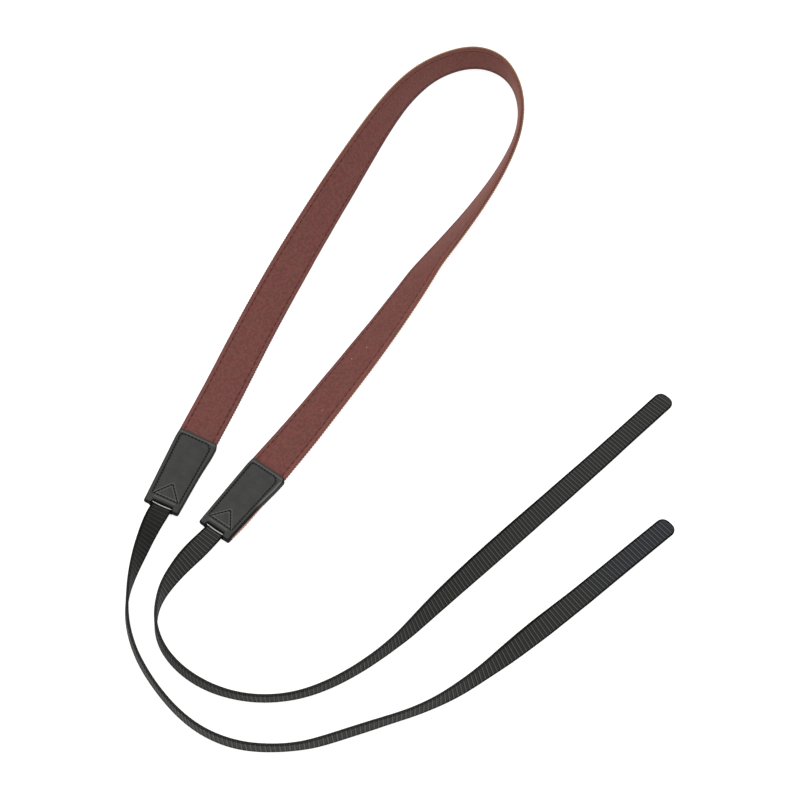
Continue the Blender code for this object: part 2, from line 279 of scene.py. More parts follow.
def shell_faces(rows, columns):
    """Faces of a closed skin between a top grid and a bottom grid of points."""
    i, j = np.meshgrid(np.arange(rows - 1), np.arange(columns - 1), indexing="ij")
    a = (i * columns + j).ravel()
    top = np.stack([a, a + 1, a + columns + 1, a + columns], axis=1)
    under = rows * columns
    bottom = top[:, ::-1] + under

    def wall(start, end):
        return np.stack([start, end, end + under, start + under], axis=1)

    j = np.arange(columns - 1)
    i = np.arange(rows - 1) * columns
    last = j + (rows - 1) * columns
    right = i + columns - 1
    return np.concatenate([top, bottom, wall(j + 1, j), wall(last, last + 1),
                           wall(i, i + columns), wall(right + columns, right)])


def shell(name, top, bottom, material, **notes):
    """A closed skin over two grids of points. A note is one grid of values for both, or a pair."""
    rows, columns = top.shape[:2]
    points = np.concatenate([top.reshape(-1, 3), bottom.reshape(-1, 3)])
    faces = facing_out(points, shell_faces(rows, columns))
    flat = {}
    for title, value in notes.items():
        upper, lower = value if isinstance(value, tuple) else (value, value)
        size = (-1, 3) if upper.ndim == 3 else (-1,)
        flat[title] = np.concatenate([upper.reshape(size), lower.reshape(size)])
    return make_object(name, points, faces.tolist(), material, flat)


def spread(along, across, height):
    """Where each point lies on the flat strap, for the shader's patterns."""
    return np.stack([np.broadcast_to(along[:, None], across.shape), across, height], axis=2)


def strap_skin(name, course, along, across, top, bottom, material, **notes):
    """A closed skin over a course."""
    return shell(name, course.surface(along, across, top),
                 course.surface(along, across, bottom), material,
                 lie=(spread(along, across, top), spread(along, across, bottom)), **notes)


STITCH_RINGS = np.linspace(-1.0, 1.0, 7)
STITCH_SIDES = 6


def stitches(name, centres, forwards, normals, length, radius, sink, material):
    """One joined mesh of short threads whose ends dive into the surface."""
    turns = 2 * np.pi * np.arange(STITCH_SIDES) / STITCH_SIDES
    sides = np.cross(normals, forwards)
    thick = radius * np.sqrt(1 - 0.85 * STITCH_RINGS ** 4)
    centre = (centres[:, None, :] + forwards[:, None, :] * (STITCH_RINGS * length / 2)[:, None]
              - normals[:, None, :] * (sink * STITCH_RINGS ** 4)[:, None])
    ring = (sides[:, None, None, :] * np.cos(turns)[:, None]
            + normals[:, None, None, :] * np.sin(turns)[:, None])
    points = centre[:, :, None, :] + ring * thick[None, :, None, None]
    count = len(STITCH_RINGS)
    i, j = np.meshgrid(np.arange(count - 1), np.arange(STITCH_SIDES), indexing="ij")
    a = (i * STITCH_SIDES + j).ravel()
    b = (i * STITCH_SIDES + (j + 1) % STITCH_SIDES).ravel()
    quads = np.stack([a, b, b + STITCH_SIDES, a + STITCH_SIDES], axis=1)
    first = list(range(STITCH_SIDES))
    last = [k + (count - 1) * STITCH_SIDES for k in first]
    one = quads.tolist() + [first[::-1], last]
    size = count * STITCH_SIDES
    faces = [[k + n * size for k in face] for n in range(len(centres)) for face in one]
    return make_object(name, points.reshape(-1, 3), faces, material)


# Materials

def linear(red, green, blue):
    """A colour as the picture shows it, from 0 to 255, as linear light."""
    values = []
    for value in (red, green, blue):
        share = value / 255
        values.append(share / 12.92 if share <= 0.04045 else ((share + 0.055) / 1.055) ** 2.4)
    return (*values, 1.0)


class Finish:
    """A material whose nodes are added by short calls."""

    def __init__(self, name, **constants):
        self.material = bpy.data.materials.new(name)
        self.material.use_nodes = True
        self.tree = self.material.node_tree
        self.shader = self.tree.nodes["Principled BSDF"]
        self.feed(self.shader, **constants)

    def add(self, kind, **settings):
        node = self.tree.nodes.new("ShaderNode" + kind)
        for title, value in settings.items():
            setattr(node, title, value)
        return node

    def plug(self, socket, value):
        if isinstance(value, bpy.types.NodeSocket):
            self.tree.links.new(value, socket)
        else:
            socket.default_value = value

    def feed(self, node, **inputs):
        """Set a node's inputs to values, or link them to other nodes' outputs."""
        for title, value in inputs.items():
            self.plug(node.inputs[title.replace("_", " ")], value)
        return node

    def note(self, name):
        """A value kept on the mesh: its factor, or its vector for the flat place."""
        node = self.add("Attribute", attribute_name=name)
        return node.outputs["Vector"] if name == "lie" else node.outputs["Fac"]

    def stretched(self, along, across, height):
        """The flat place, scaled on each side for patterns that run one way."""
        return self.feed(self.add("Mapping"), Vector=self.note("lie"),
                         Scale=(along, across, height)).outputs["Vector"]

    def noise(self, vector, scale, detail=3.0, roughness=0.55):
        return self.feed(self.add("TexNoise"), Vector=vector, Scale=scale, Detail=detail,
                         Roughness=roughness).outputs["Fac"]

    def cells(self, vector, scale, feature="F1"):
        return self.feed(self.add("TexVoronoi", feature=feature), Vector=vector, Scale=scale)

    def span(self, value, low, high, to_low=0.0, to_high=1.0):
        node = self.add("MapRange", interpolation_type="SMOOTHSTEP")
        return self.feed(node, Value=value, From_Min=low, From_Max=high, To_Min=to_low,
                         To_Max=to_high).outputs["Result"]

    def calc(self, operation, first, second):
        node = self.add("Math", operation=operation)
        self.plug(node.inputs[0], first)
        self.plug(node.inputs[1], second)
        return node.outputs["Value"]

    def blend(self, factor, first, second):
        node = self.add("Mix", data_type="RGBA")
        self.plug(node.inputs[0], factor)
        for place, value in ((6, first), (7, second)):
            self.plug(node.inputs[place], linear(*value) if isinstance(value, tuple) else value)
        return node.outputs[2]

    def layered(self, body, **colours):
        """The body, covered by each colour as far as the note of that name says."""
        for name, colour in colours.items():
            body = self.blend(self.note(name), body, colour)
        return body

    def bump(self, height, distance, strength=1.0, under=None):
        node = self.feed(self.add("Bump"), Height=height, Distance=distance, Strength=strength)
        if under is not None:
            self.feed(node, Normal=under)
        return node.outputs["Normal"]

    def done(self, colour, roughness, normal):
        self.feed(self.shader, Base_Color=colour, Roughness=roughness, Normal=normal)
        return self.material


def brown_face_finish():
    """Brushed brown face: a fine nap, soft mottling, toned margins, painted shade on the inner
    margin and along the sewing, dark cut edges deepened with painted shade, some lint.
    """
    look = Finish("brown_face", Sheen_Weight=0.22, Sheen_Roughness=0.4,
                  Sheen_Tint=linear(232, 182, 162), Specular_IOR_Level=0.12)
    place = look.note("lie")
    nap = look.noise(look.stretched(1.0, 1.6, 1.0), 2600.0, 2.0)
    mottle = look.noise(place, 700.0, 3.0)
    tint = look.noise(place, 420.0, 2.0, 0.4)
    body = look.blend(look.span(mottle, 0.36, 0.64), (101, 60, 56), (115, 71, 66))
    body = look.blend(look.span(tint, 0.5, 0.66, 0.0, 0.26), body, (105, 76, 60))
    body = look.blend(look.span(tint, 0.34, 0.48, 0.26, 0.0), body, (122, 62, 60))
    margin = look.calc("MULTIPLY", look.note("margin"), 0.35)
    body = look.blend(margin, body, (128, 80, 73))
    body = look.blend(look.span(nap, 0.45, 0.75, 0.0, 0.25), body, (88, 50, 46))
    # under and groove are painted shade on the inner margin and along the sewing; rim is the cut
    # edge's dark colour deepened with painted shade; red is the backing's colour
    body = look.layered(body, red=(146, 82, 66), under=(62, 38, 46), groove=(64, 34, 32),
                        rim=(44, 26, 28))
    lint = look.cells(place, 210.0)
    near = look.span(lint.outputs["Distance"], 0.04, 0.075, 1.0, 0.0)
    rare = look.feed(look.add("SeparateColor"), Color=lint.outputs["Color"])
    chosen = look.calc("GREATER_THAN", rare.outputs["Red"], 0.93)
    body = look.blend(look.calc("MULTIPLY", near, chosen), body, (186, 158, 140))
    normal = look.bump(nap, 0.0001, 0.6)
    normal = look.bump(mottle, 0.00018, 0.5, normal)
    return look.done(body, look.span(mottle, 0.2, 0.8, 0.78, 0.92), normal)


def brown_ribbed_finish():
    """Ribbed backing: red-brown weave with painted shade in the rib hollows and tan threads where
    it turns at the edge.
    """
    look = Finish("brown_ribbed", Sheen_Weight=0.2, Sheen_Roughness=0.5,
                  Sheen_Tint=linear(210, 165, 130), Specular_IOR_Level=0.2)
    warp = look.noise(look.stretched(60.0, 1.0, 0.2), 2400.0, 2.0)
    thread = look.noise(look.stretched(0.35, 1.0, 1.0), 3400.0, 2.0)
    body = look.blend(look.span(thread, 0.35, 0.7), (96, 50, 42), (120, 66, 54))
    # Painted shade: the rib hollows are darkened halfway to deep brown, and the crests keep the
    # weave's colour
    body = look.blend(look.note("crest"), look.blend(0.5, body, (52, 26, 22)), body)
    body = look.layered(body, fringe=(178, 142, 106), flap=(176, 133, 120))
    normal = look.bump(warp, 0.00006, 0.5)
    normal = look.bump(thread, 0.00008, 0.7, normal)
    return look.done(body, look.span(thread, 0.2, 0.8, 0.75, 0.9), normal)


def black_leather_finish():
    """Smooth black leather: a fine pebble, a paler border, painted highlights on its ridges,
    painted shade in its seams, and dark cut edges with painted shade.
    """
    look = Finish("black_leather", Specular_IOR_Level=0.12)
    place = look.note("lie")
    pebble = look.cells(place, 2300.0, "SMOOTH_F1").outputs["Distance"]
    pores = look.noise(place, 5200.0, 2.0)
    cloud = look.noise(place, 240.0, 3.0)
    body = look.blend(look.span(cloud, 0.3, 0.7), (54, 54, 54), (62, 62, 61))
    # gleam is painted highlight; crease is painted shade in the seams, on the lip's end face and
    # over the core; rim is the dark cut edge with painted shade at the mouth and on the inner
    # faces
    body = look.layered(body, border=(62, 62, 59), gleam=(138, 138, 136), crease=(8, 8, 8),
                        rim=(12, 12, 12))
    normal = look.bump(pebble, 0.00007, 0.45)
    normal = look.bump(pores, 0.00003, 0.4, normal)
    return look.done(body, look.span(cloud, 0.25, 0.75, 0.5, 0.6), normal)


def black_webbing_finish():
    """Black grosgrain: thin pale rib crests painted as highlights, dark hollows, fine threads and
    dark edges.
    """
    look = Finish("black_webbing", Specular_IOR_Level=0.06)
    threads = look.noise(look.stretched(0.12, 1.0, 1.0), 5200.0, 2.0)
    weft = look.noise(look.stretched(1.0, 0.15, 1.0), 4200.0, 2.0)
    patch = look.noise(look.note("lie"), 420.0, 2.0)
    cool = look.note("cool")
    ground = look.blend(cool, (17, 17, 16), (19, 20, 22))
    pale = look.blend(cool, (91, 91, 88), (89, 92, 96))
    # Painted highlight: pale lines where the rib crests catch the light
    body = look.blend(look.note("crest"), ground, pale)
    body = look.blend(look.span(threads, 0.4, 0.7, 0.0, 0.22), body, (30, 30, 29))
    body = look.blend(look.span(patch, 0.45, 0.7, 0.0, 0.15), body, (52, 52, 49))
    body = look.layered(body, crease=(9, 9, 9))
    normal = look.bump(threads, 0.00008, 0.7)
    normal = look.bump(weft, 0.00004, 0.5, normal)
    return look.done(body, look.span(threads, 0.2, 0.8, 0.5, 0.72), normal)


def thread_finish(name, dark, light):
    """Sewing thread, with the light and dark of its twist."""
    look = Finish(name, Specular_IOR_Level=0.06)
    place = look.add("TexCoord").outputs["Object"]
    twist = look.noise(place, 4200.0, 2.0)
    body = look.blend(look.span(twist, 0.35, 0.7), dark, light)
    return look.done(body, look.span(twist, 0.2, 0.8, 0.55, 0.75), look.bump(twist, 0.00006, 0.6))


def lip_highlight_finish():
    """The fold of black leather over the tail, coloured light grey as a painted highlight under a
    glossy coat.
    """
    look = Finish("lip_highlight_edge", Specular_IOR_Level=0.8, Coat_Weight=1.0, Coat_Roughness=0.12)
    place = look.add("TexCoord").outputs["Object"]
    grain = look.noise(place, 1500.0, 3.0)
    # Painted highlight: the black leather's fold is coloured light grey
    body = look.blend(look.span(grain, 0.3, 0.7), (150, 150, 148), (190, 190, 188))
    return look.done(body, look.span(grain, 0.2, 0.8, 0.2, 0.32), look.bump(grain, 0.00005, 0.4))


# Neck band

# Insets of the mesh's columns from each edge of a strap
FACE_COLUMNS = (0.0, 0.0001, 0.00028, 0.00055, 0.001, 0.0015, 0.0018, 0.00198, 0.0021,
                0.00222, 0.0024, 0.0029, 0.0042, 0.0064)
BACKING_COLUMNS = (0.0, 0.00012, 0.0004, 0.0011, 0.0032, 0.0062)

# Tones at shares of the band's length. rim is how dark the face's cut edge is, on the outer and
# the inner side of the loop, its dark colour deepened with painted shade; under is how far painted
# shade covers the inner margin, and red how far the outer margin turns to the backing's red-brown
EDGE_SHARES = (0, 0.22, 0.3, 0.38, 0.46, 0.51, 0.56, 0.6, 0.68, 0.78, 1)
EDGE_TONES = {
    "rim_outer": (0.35, 0.3, 0.25, 0.2, 0.2, 0.15, 0.15, 0.25, 0.2, 0.1, 0.1),
    "rim_inner": (0.25, 0.35, 0.75, 0.9, 1, 0.9, 0.5, 0.6, 0.75, 0.55, 0.35),
    "under": (0, 0.05, 0.3, 0.85, 1, 0.7, 0.2, 0.05, 0, 0, 0),
    "red": (0, 0, 0, 0, 0, 0.15, 0.25, 0.25, 0.2, 0.15, 0.15),
}


def columns(insets, half):
    """Places across a strap at the insets from its edges, one row for each half width."""
    insets = np.array(insets)
    squeeze = np.minimum(1.0, half / (1.25 * insets[-1]))
    left = -half[:, None] + insets * squeeze[:, None]
    return np.concatenate([left, np.zeros((len(half), 1)), -left[:, ::-1]], axis=1)


def edge_distance(across, half):
    """How far each place is from the strap's nearer edge."""
    return np.maximum(half[:, None] - np.abs(across), 0.0)


def tucked_half(along, half):
    """Half width of a layer of the band, narrowed where it runs into a tab."""
    depth = np.maximum(-along, along - PAD_LENGTH)
    inside = tab_half(np.maximum(depth, 0.0)) - TUCKED_INSET
    narrowed = half + (np.minimum(half, inside) - half) * rise(depth / 0.004)
    return np.where(depth > 0, narrowed, half)


def stitch_places():
    """Distances of the band's stitches, from just clear of one tab to the other."""
    count = int(PAD_LENGTH / PAD_STITCH_PITCH)
    margin = (PAD_LENGTH - (count - 1) * PAD_STITCH_PITCH) / 2
    return margin + PAD_STITCH_PITCH * np.arange(count)


def needle_holes(along):
    """1 where the band's thread goes through, 0 half a stitch on."""
    first = stitch_places()[0] - PAD_STITCH_PITCH / 2
    return 0.5 + 0.5 * np.cos(2 * np.pi * (along - first) / PAD_STITCH_PITCH)


def seam_depth(along, edge, shallow, deep):
    """How far a line of sewing pulls the surface in, most where the thread goes through."""
    pull = shallow + (deep - shallow) * needle_holes(along) ** 3
    return pull[:, None] * hump(edge - PAD_SEAM_INSET, 0.0003)


def edge_tone(along, title):
    """One of the edge tones, read along the band."""
    return np.interp(along / PAD_LENGTH, EDGE_SHARES, EDGE_TONES[title])[:, None]


def face_layer(course, material):
    """The brown face of the band, and its flat length."""
    step = PAD_STITCH_PITCH / 6
    along = np.arange(-FACE_TUCK, PAD_LENGTH + FACE_TUCK, step)
    half = tucked_half(along, PAD_WIDTH / 2 + 0.00008 * wobble(along, 1.3))
    across = columns(FACE_COLUMNS, half)
    edge = edge_distance(across, half)
    floor, roof = HALF_LAYER_GAP, STACK_THICKNESS / 2
    middle = (floor + roof) / 2
    swell = 0.0001 * rise((edge - PAD_SEAM_INSET) / 0.004)
    margin_roll = 0.00008 * hump(edge - 0.0011, 0.0007)
    top = middle + (roof - middle - 0.00018) * quarter(edge / 0.0003) + swell + margin_roll
    top = top - seam_depth(along, edge, 0.0001, 0.00026)
    top = top + 0.00003 * wobble(along, 4.1)[:, None]
    bottom = middle - (middle - floor) * quarter(edge / 0.00012)
    outside = drop((edge - 0.0017) / 0.0006) * np.where(across > 0, 1.0, 0.75)
    # Painted shade: groove darkens the sewn line, most along the thread; rim is the cut edge's own
    # dark colour deepened with painted shade; under is painted shade on the inner margin where the
    # band curls under
    groove = (0.85 - 0.55 * needle_holes(along))[:, None] * hump(edge - PAD_SEAM_INSET, 0.00026)
    tone = np.where(across > 0, edge_tone(along, "rim_outer"), edge_tone(along, "rim_inner"))
    rim_width = np.where(across > 0, 0.00022, 0.0004)
    rim = tone * drop((edge - rim_width) / 0.0003)
    under = edge_tone(along, "under") * (across < 0) * drop((edge - 0.0007) / 0.001)
    red = edge_tone(along, "red") * (across > 0) * drop((edge - 0.0008) / 0.0008)
    item = strap_skin("neck_pad_face", course, along, across, top, bottom, material,
                      margin=outside, groove=groove, rim=rim, under=under, red=red)
    return item, len(along) * step


def ribs(along, pitch, sharpness):
    """Height of cross ribs, from 0 in the hollow to 1 at the crest."""
    return (0.5 + 0.5 * np.cos(2 * np.pi * along / pitch)) ** sharpness


def backing_layer(course, material):
    """The ribbed backing of the band, and its flat length."""
    step = BACKING_RIB_PITCH / 6
    along = np.arange(-BACKING_TUCK_LEFT, PAD_LENGTH + BACKING_TUCK_RIGHT, step)
    crest = ribs(along, BACKING_RIB_PITCH, 1.2)
    half = tucked_half(along, BACKING_WIDTH / 2) - 0.00026 * (1 - crest)
    across = columns(BACKING_COLUMNS, half)
    # The band isn't quite centred in the right tab: its backing shows along the tab's right side
    depth = along - PAD_LENGTH
    proud = np.interp(depth, (0.006, 0.016, 0.03, 0.0395), (0.0, 0.0017, 0.0022, 0.0019))
    across = across + proud[:, None] * np.clip(across / half[:, None], 0, 1)
    edge = edge_distance(across, half + proud)
    roof, floor = -HALF_LAYER_GAP, -STACK_THICKNESS / 2
    middle = (floor + roof) / 2
    relief = BACKING_RIB_DEPTH * (1 - crest)[:, None] * rise(edge / 0.0002)
    bottom = middle - (middle - floor) * quarter(edge / 0.0004) + relief
    bottom = bottom + seam_depth(along, edge, 0.00004, 0.00012)
    top = middle + (roof - middle) * quarter(edge / 0.0004) - 0.4 * relief
    # crest also tells the finish where to paint shade in the hollows between the ribs
    crests = np.broadcast_to(crest[:, None], across.shape)
    turned = drop((edge - 0.00022) / 0.0003) * (0.5 + 0.5 * crests)
    bend = np.interp(along, (0.02, 0.13, 0.24, 0.32, 0.37, 0.46), (0.3, 0.6, 1.0, 0.8, 0.35, 0.5))
    fringe = turned * bend[:, None] * (across > 0)
    flap = rise((depth - 0.006) / 0.01)[:, None] * (across > 0)
    item = strap_skin("ribbed_backing", course, along, across, top, bottom, material,
                      crest=crests, fringe=fringe, flap=flap)
    return item, len(along) * step


def band_stitches(course, name, height, facing, material):
    """Both rows of the band's sewing, as seen on one of its sides."""
    along = np.repeat(stitch_places(), 2)
    side = np.tile([-1.0, 1.0], len(along) // 2) * (PAD_WIDTH / 2 - PAD_SEAM_INSET)
    middle, forward, across, normal = course.at(along)
    centres = middle + across * side[:, None] + normal * height
    return stitches(name, centres, forward, normal * facing, PAD_STITCH_PITCH * 0.7,
                    PAD_THREAD_RADIUS, PAD_THREAD_SINK, material)


# Leather end tabs

def tab_half(depth):
    """Half width of a tab, which narrows from its mouth to the end that the tail leaves."""
    share = depth / TAB_LENGTH
    return (TAB_WIDE_WIDTH + (TAB_NARROW_WIDTH - TAB_WIDE_WIDTH) * share) / 2


# Where a tab's two long sides differ, -1 is its left side in the picture and 1 its right side
Corner = namedtuple("Corner", "length cut")
MOUTH_CORNERS = {-1: Corner(0.0055, 0.0012), 1: Corner(0.003, 0.0016)}
EAR_CORNER = Corner(0.001, 0.0009)
BULGES = {-1: 0.0, 1: 0.00065}
SEAM_CHAMFERS = {-1: 0.0012, 1: 0.0022}


def tab_outline_half(depth, side):
    """Half width of a leaf towards one side, with the corners of both ends rounded."""
    half = tab_half(depth) + BULGES[side] * hump(depth - 0.006, 0.009)
    for from_end, corner in ((depth, MOUTH_CORNERS[side]), (TAB_LENGTH - depth, EAR_CORNER)):
        half = half - corner.cut * (1 - quarter(from_end / corner.length))
    return half


def ears(across):
    """1 on the upper leaf's two ears at the narrow end, 0 over the tail between them."""
    return rise((np.abs(across) - NOTCH_HALF + 0.0004) / 0.0007)


def tab_end(across):
    """Where the upper leaf ends: cut back over the tail, and full length at the two ears."""
    return LIP_END + (TAB_LENGTH - LIP_END) * ears(across)


def tab_seams():
    """The stitched lines of a tab, as pairs of points (depth, across)."""
    near = tab_half(TAB_SEAM_INSET) - TAB_SEAM_INSET
    far = tab_half(TAB_SEAM_END) - TAB_SEAM_INSET
    low, high = SEAM_CHAMFERS[-1], SEAM_CHAMFERS[1]
    corners = [(TAB_SEAM_INSET + low, -near), (TAB_SEAM_INSET, low - near),
               (TAB_SEAM_INSET, near - high), (TAB_SEAM_INSET + high, near),
               (TAB_SEAM_END, far), (TAB_SEAM_END, -far)]
    border = list(zip(corners, corners[1:] + corners[:1]))
    apex = (TRIANGLE_APEX, 0.0)
    triangle = [((TAB_SEAM_END, -TRIANGLE_HALF), apex), (apex, (TAB_SEAM_END, TRIANGLE_HALF))]
    return border, triangle


def seam_field(depth, across, seams):
    """Distance to the nearest stitched line, and how far along it in stitches."""
    best = np.full(depth.shape, 1.0)
    phase = np.zeros(depth.shape)
    for (u0, v0), (u1, v1) in seams:
        length = math.hypot(u1 - u0, v1 - v0)
        du, dv = (u1 - u0) / length, (v1 - v0) / length
        reach = np.clip((depth - u0) * du + (across - v0) * dv, 0.0, length)
        away = np.hypot(depth - u0 - reach * du, across - v0 - reach * dv)
        nearer = away < best
        best = np.where(nearer, away, best)
        count = max(1, round(length / TAB_STITCH_PITCH))
        phase = np.where(nearer, reach * count / length, phase)
    return best, phase


def outside_seam(depth, across):
    """1 outside the stitched border, 0 inside it, with a soft edge."""
    side = rise((np.abs(across) - (tab_half(depth) - TAB_SEAM_INSET)) / 0.0002 + 0.5)
    ends = (rise((TAB_SEAM_INSET - depth) / 0.0002 + 0.5)
            + rise((depth - TAB_SEAM_END) / 0.0002 + 0.5))
    return np.clip(side + ends, 0.0, 1.0)


def leaf_relief(depth, across):
    """Height over the plain leaf, whether outside the stitched border, and distance to it."""
    border, triangle = tab_seams()
    from_border, phase = seam_field(depth, across, border)
    from_triangle, slant_phase = seam_field(depth, across, triangle)
    outside = outside_seam(depth, across)
    roll = 0.00034 * outside * np.sin(np.pi * np.clip(from_border / 0.0024, 0, 1))
    crown = 0.00016 * (1 - outside) * rise(from_border / 0.004)
    pull = 0.7 + 0.3 * np.cos(2 * np.pi * phase)
    seam = 0.0003 * pull * hump(from_border, 0.0003)
    slant = 0.00022 * (0.7 + 0.3 * np.cos(2 * np.pi * slant_phase)) * hump(from_triangle, 0.00028)
    ridge = 0.00008 * hump(from_triangle - 0.0006, 0.0003)
    relief = roll + crown - seam - slant * (1 - outside) + ridge * (1 - outside)
    return relief, outside, from_border


LEAF_EDGES = np.array([0.0, 0.00005, 0.00014, 0.00028, 0.0005, 0.0008])
LAST_STRETCH = 0.006
UPPER_SPACING = 0.0003
LOWER_SPACING = 0.00045
WEB_TOP = WEBBING_MIDDLE + WEBBING_THICKNESS / 2
SEAM_LEVEL = 0.00205


def leaf_grid(spacing, notched):
    """Depth, across and edge distances of a leaf's points."""
    plain = np.arange(LEAF_MARGIN, TAB_LENGTH - LAST_STRETCH, spacing)
    back = np.concatenate([np.arange(LAST_STRETCH - spacing / 2, 0.001, -spacing),
                           LEAF_EDGES[::-1]]) / LAST_STRETCH
    nominal = np.concatenate([LEAF_EDGES, plain, TAB_LENGTH - back * LAST_STRETCH])
    low, high = (tab_outline_half(nominal, side)[:, None] for side in (-1, 1))
    share = np.linspace(0.0, 1.0, int(TAB_WIDE_WIDTH / spacing))
    inner = (low + high - 2 * LEAF_MARGIN) * share - (low - LEAF_MARGIN)
    across = np.concatenate([LEAF_EDGES - low, inner, high - LEAF_EDGES[::-1]], axis=1)
    depth = np.broadcast_to(nominal[:, None], across.shape).copy()
    end = tab_end(across) if notched else np.full(across.shape, TAB_LENGTH)
    tail = len(back)
    root = TAB_LENGTH - LAST_STRETCH
    depth[-tail:] = end[-tail:] - back[:, None] * (end[-tail:] - root)
    side = np.maximum(np.where(across < 0, low + across, high - across), 0.0)
    return depth, across, side, np.maximum(end - depth, 0.0)


def plane_height(depth):
    """Height of the upper leaf's plain outer face."""
    return TAB_WIDE_THICKNESS + (TAB_NARROW_THICKNESS - TAB_WIDE_THICKNESS) * depth / TAB_LENGTH


def edge_fall(depth, side, end):
    """1 inside a leaf, falling round to 0 at its sides and ends."""
    return quarter(side / 0.0012) * quarter((depth + 0.00005) / 0.0006) * quarter(end / 0.0011)


def upper_heights(depth, across, side, end):
    """Outer and inner heights of the upper leaf, whose sides curl down to the seam level."""
    plane = plane_height(depth)
    flat = plane - LEAF_THICKNESS
    closing = rise(depth / 0.004)
    low = flat + (SEAM_LEVEL + 0.00005 - flat) * closing
    over_tail = (1 - ears(across)) * rise((depth - 0.036) / 0.003)
    low = low + (WEB_TOP + 0.00012 - low) * over_tail
    relief, outside, from_border = leaf_relief(depth, across)
    lip = 0.00022 * hump(depth - 0.0386, 0.0009)
    fall = edge_fall(depth, side, end)
    outer = low + 0.00006 + (plane + relief + lip - low - 0.00006) * fall
    lifted = rise((side - 0.00035) / 0.0009)
    near_end = rise((end - 0.00035) / 0.0009)
    inner = low + (flat - low) * lifted * np.where(over_tail > 0.5, 1.0, near_end)
    return outer, np.minimum(inner, outer - THINNEST_LEAF), outside, from_border


def lower_heights(depth, across, side, end, open_side):
    """Outer and inner heights of the lower leaf.

    open_side is the side, -1 or 1, along which the band's edge shows, or 0 for neither.
    """
    flat = np.full(depth.shape, LEAF_THICKNESS)
    closing = rise(depth / 0.004)
    level = SEAM_LEVEL - 0.00005
    shown = rise((depth - 0.01) / 0.014) * (across * open_side > 0)
    level = level + (0.00105 - level) * shown
    low = flat + (level - flat) * closing
    under_tail = drop((np.abs(across) - NOTCH_HALF) / 0.0008) * rise((depth - 0.036) / 0.004)
    low = low + (LEAF_THICKNESS * 0.8 - low) * under_tail
    relief, outside, from_border = leaf_relief(depth, across)
    fall = edge_fall(depth, side, end)
    outer = low - 0.00006 - (low - 0.00006 + np.minimum(0.5 * relief, 0.0)) * fall
    lifted = rise((side - 0.00035) / 0.0009) * rise((end - 0.00035) / 0.0009)
    inner = low + (flat - low) * lifted
    return outer, np.maximum(inner, outer + THINNEST_LEAF), outside, from_border


def placed(placing, depth, across, height):
    """Tab points in the row frame."""
    matrix = np.array(placing)
    points = np.stack([depth, across, height], axis=-1)
    return points @ matrix[:3, :3].T + matrix[:3, 3]


def leaf(name, placing, grid, outer, inner, outside, from_border, material, open_side=0):
    """One leaf of a tab, with notes for its border, its painted highlights on ridges and along the
    open side, its seams darkened with painted shade, and its dark cut edges with painted shade.
    """
    depth, across, side, end = grid
    over_tail = np.abs(across) < NOTCH_HALF
    opened = across * open_side > 0
    mouth = drop((depth - TAB_SEAM_INSET) / 0.0003 + 0.5)
    lip = rise((depth - TAB_SEAM_END - 0.0002) / 0.0006)
    border = outside * rise(from_border / 0.0005) * (1 - 0.8 * mouth) * (1 - 0.85 * lip)
    # crease is painted shade: along the sewn grooves, darkest on the thread, and on the lip's end
    # face over the tail
    seams, triangle = tab_seams()
    dark = np.zeros_like(border)
    for lines, strength in ((seams, 1.0), (triangle, 0.95)):
        away, phase = seam_field(depth, across, lines)
        thread = 0.5 - 0.5 * np.cos(2 * np.pi * phase)
        dark = np.maximum(dark, strength * (0.4 + 0.6 * thread) * hump(away, 0.0004))
    from_triangle = away
    base = hump(depth - TAB_SEAM_END - 0.0014, 0.0004) * over_tail
    # Stretch of the open side along which a painted highlight runs
    highlight_span = rise((depth - 0.0015) / 0.002) * drop((depth - 0.016) / 0.006)
    # gleam is painted highlight: the ridge by the mouth seam, the lip's crest, the rims inside the
    # triangle and the base seam, and the line along the open side
    gleam = (0.42 * hump(depth - TAB_SEAM_INSET + 0.0006, 0.00022) + 0.25 * base
             + 0.3 * hump(from_triangle - 0.0006, 0.00022) * (1 - outside)
             + 0.35 * hump(depth - TAB_SEAM_END + 0.0006, 0.0002) * (1 - outside)
             + 0.8 * highlight_span * hump(side - 0.00085, 0.0002) * opened)
    dark = np.maximum(dark, 0.9 * hump(end - 0.00025, 0.0006) * over_tail)
    # rim is the dark cut edge, with painted shade where the mouth meets the band; the inner face,
    # in shade inside the tab, is painted as dark
    rim = drop((np.minimum(side, np.minimum(end, depth + 0.0004)) - 0.0005) / 0.0004)
    rim = rim * (1 - highlight_span * opened * 0.5)
    plain = np.zeros_like(border)
    return shell(name, placed(placing, depth, across, outer),
                 placed(placing, depth, across, inner), material,
                 lie=(np.stack([depth, across, outer], axis=2),
                      np.stack([depth, across, inner], axis=2)),
                 border=(border, plain), gleam=(gleam, plain), crease=(dark, plain),
                 rim=(rim, plain + 1.0))


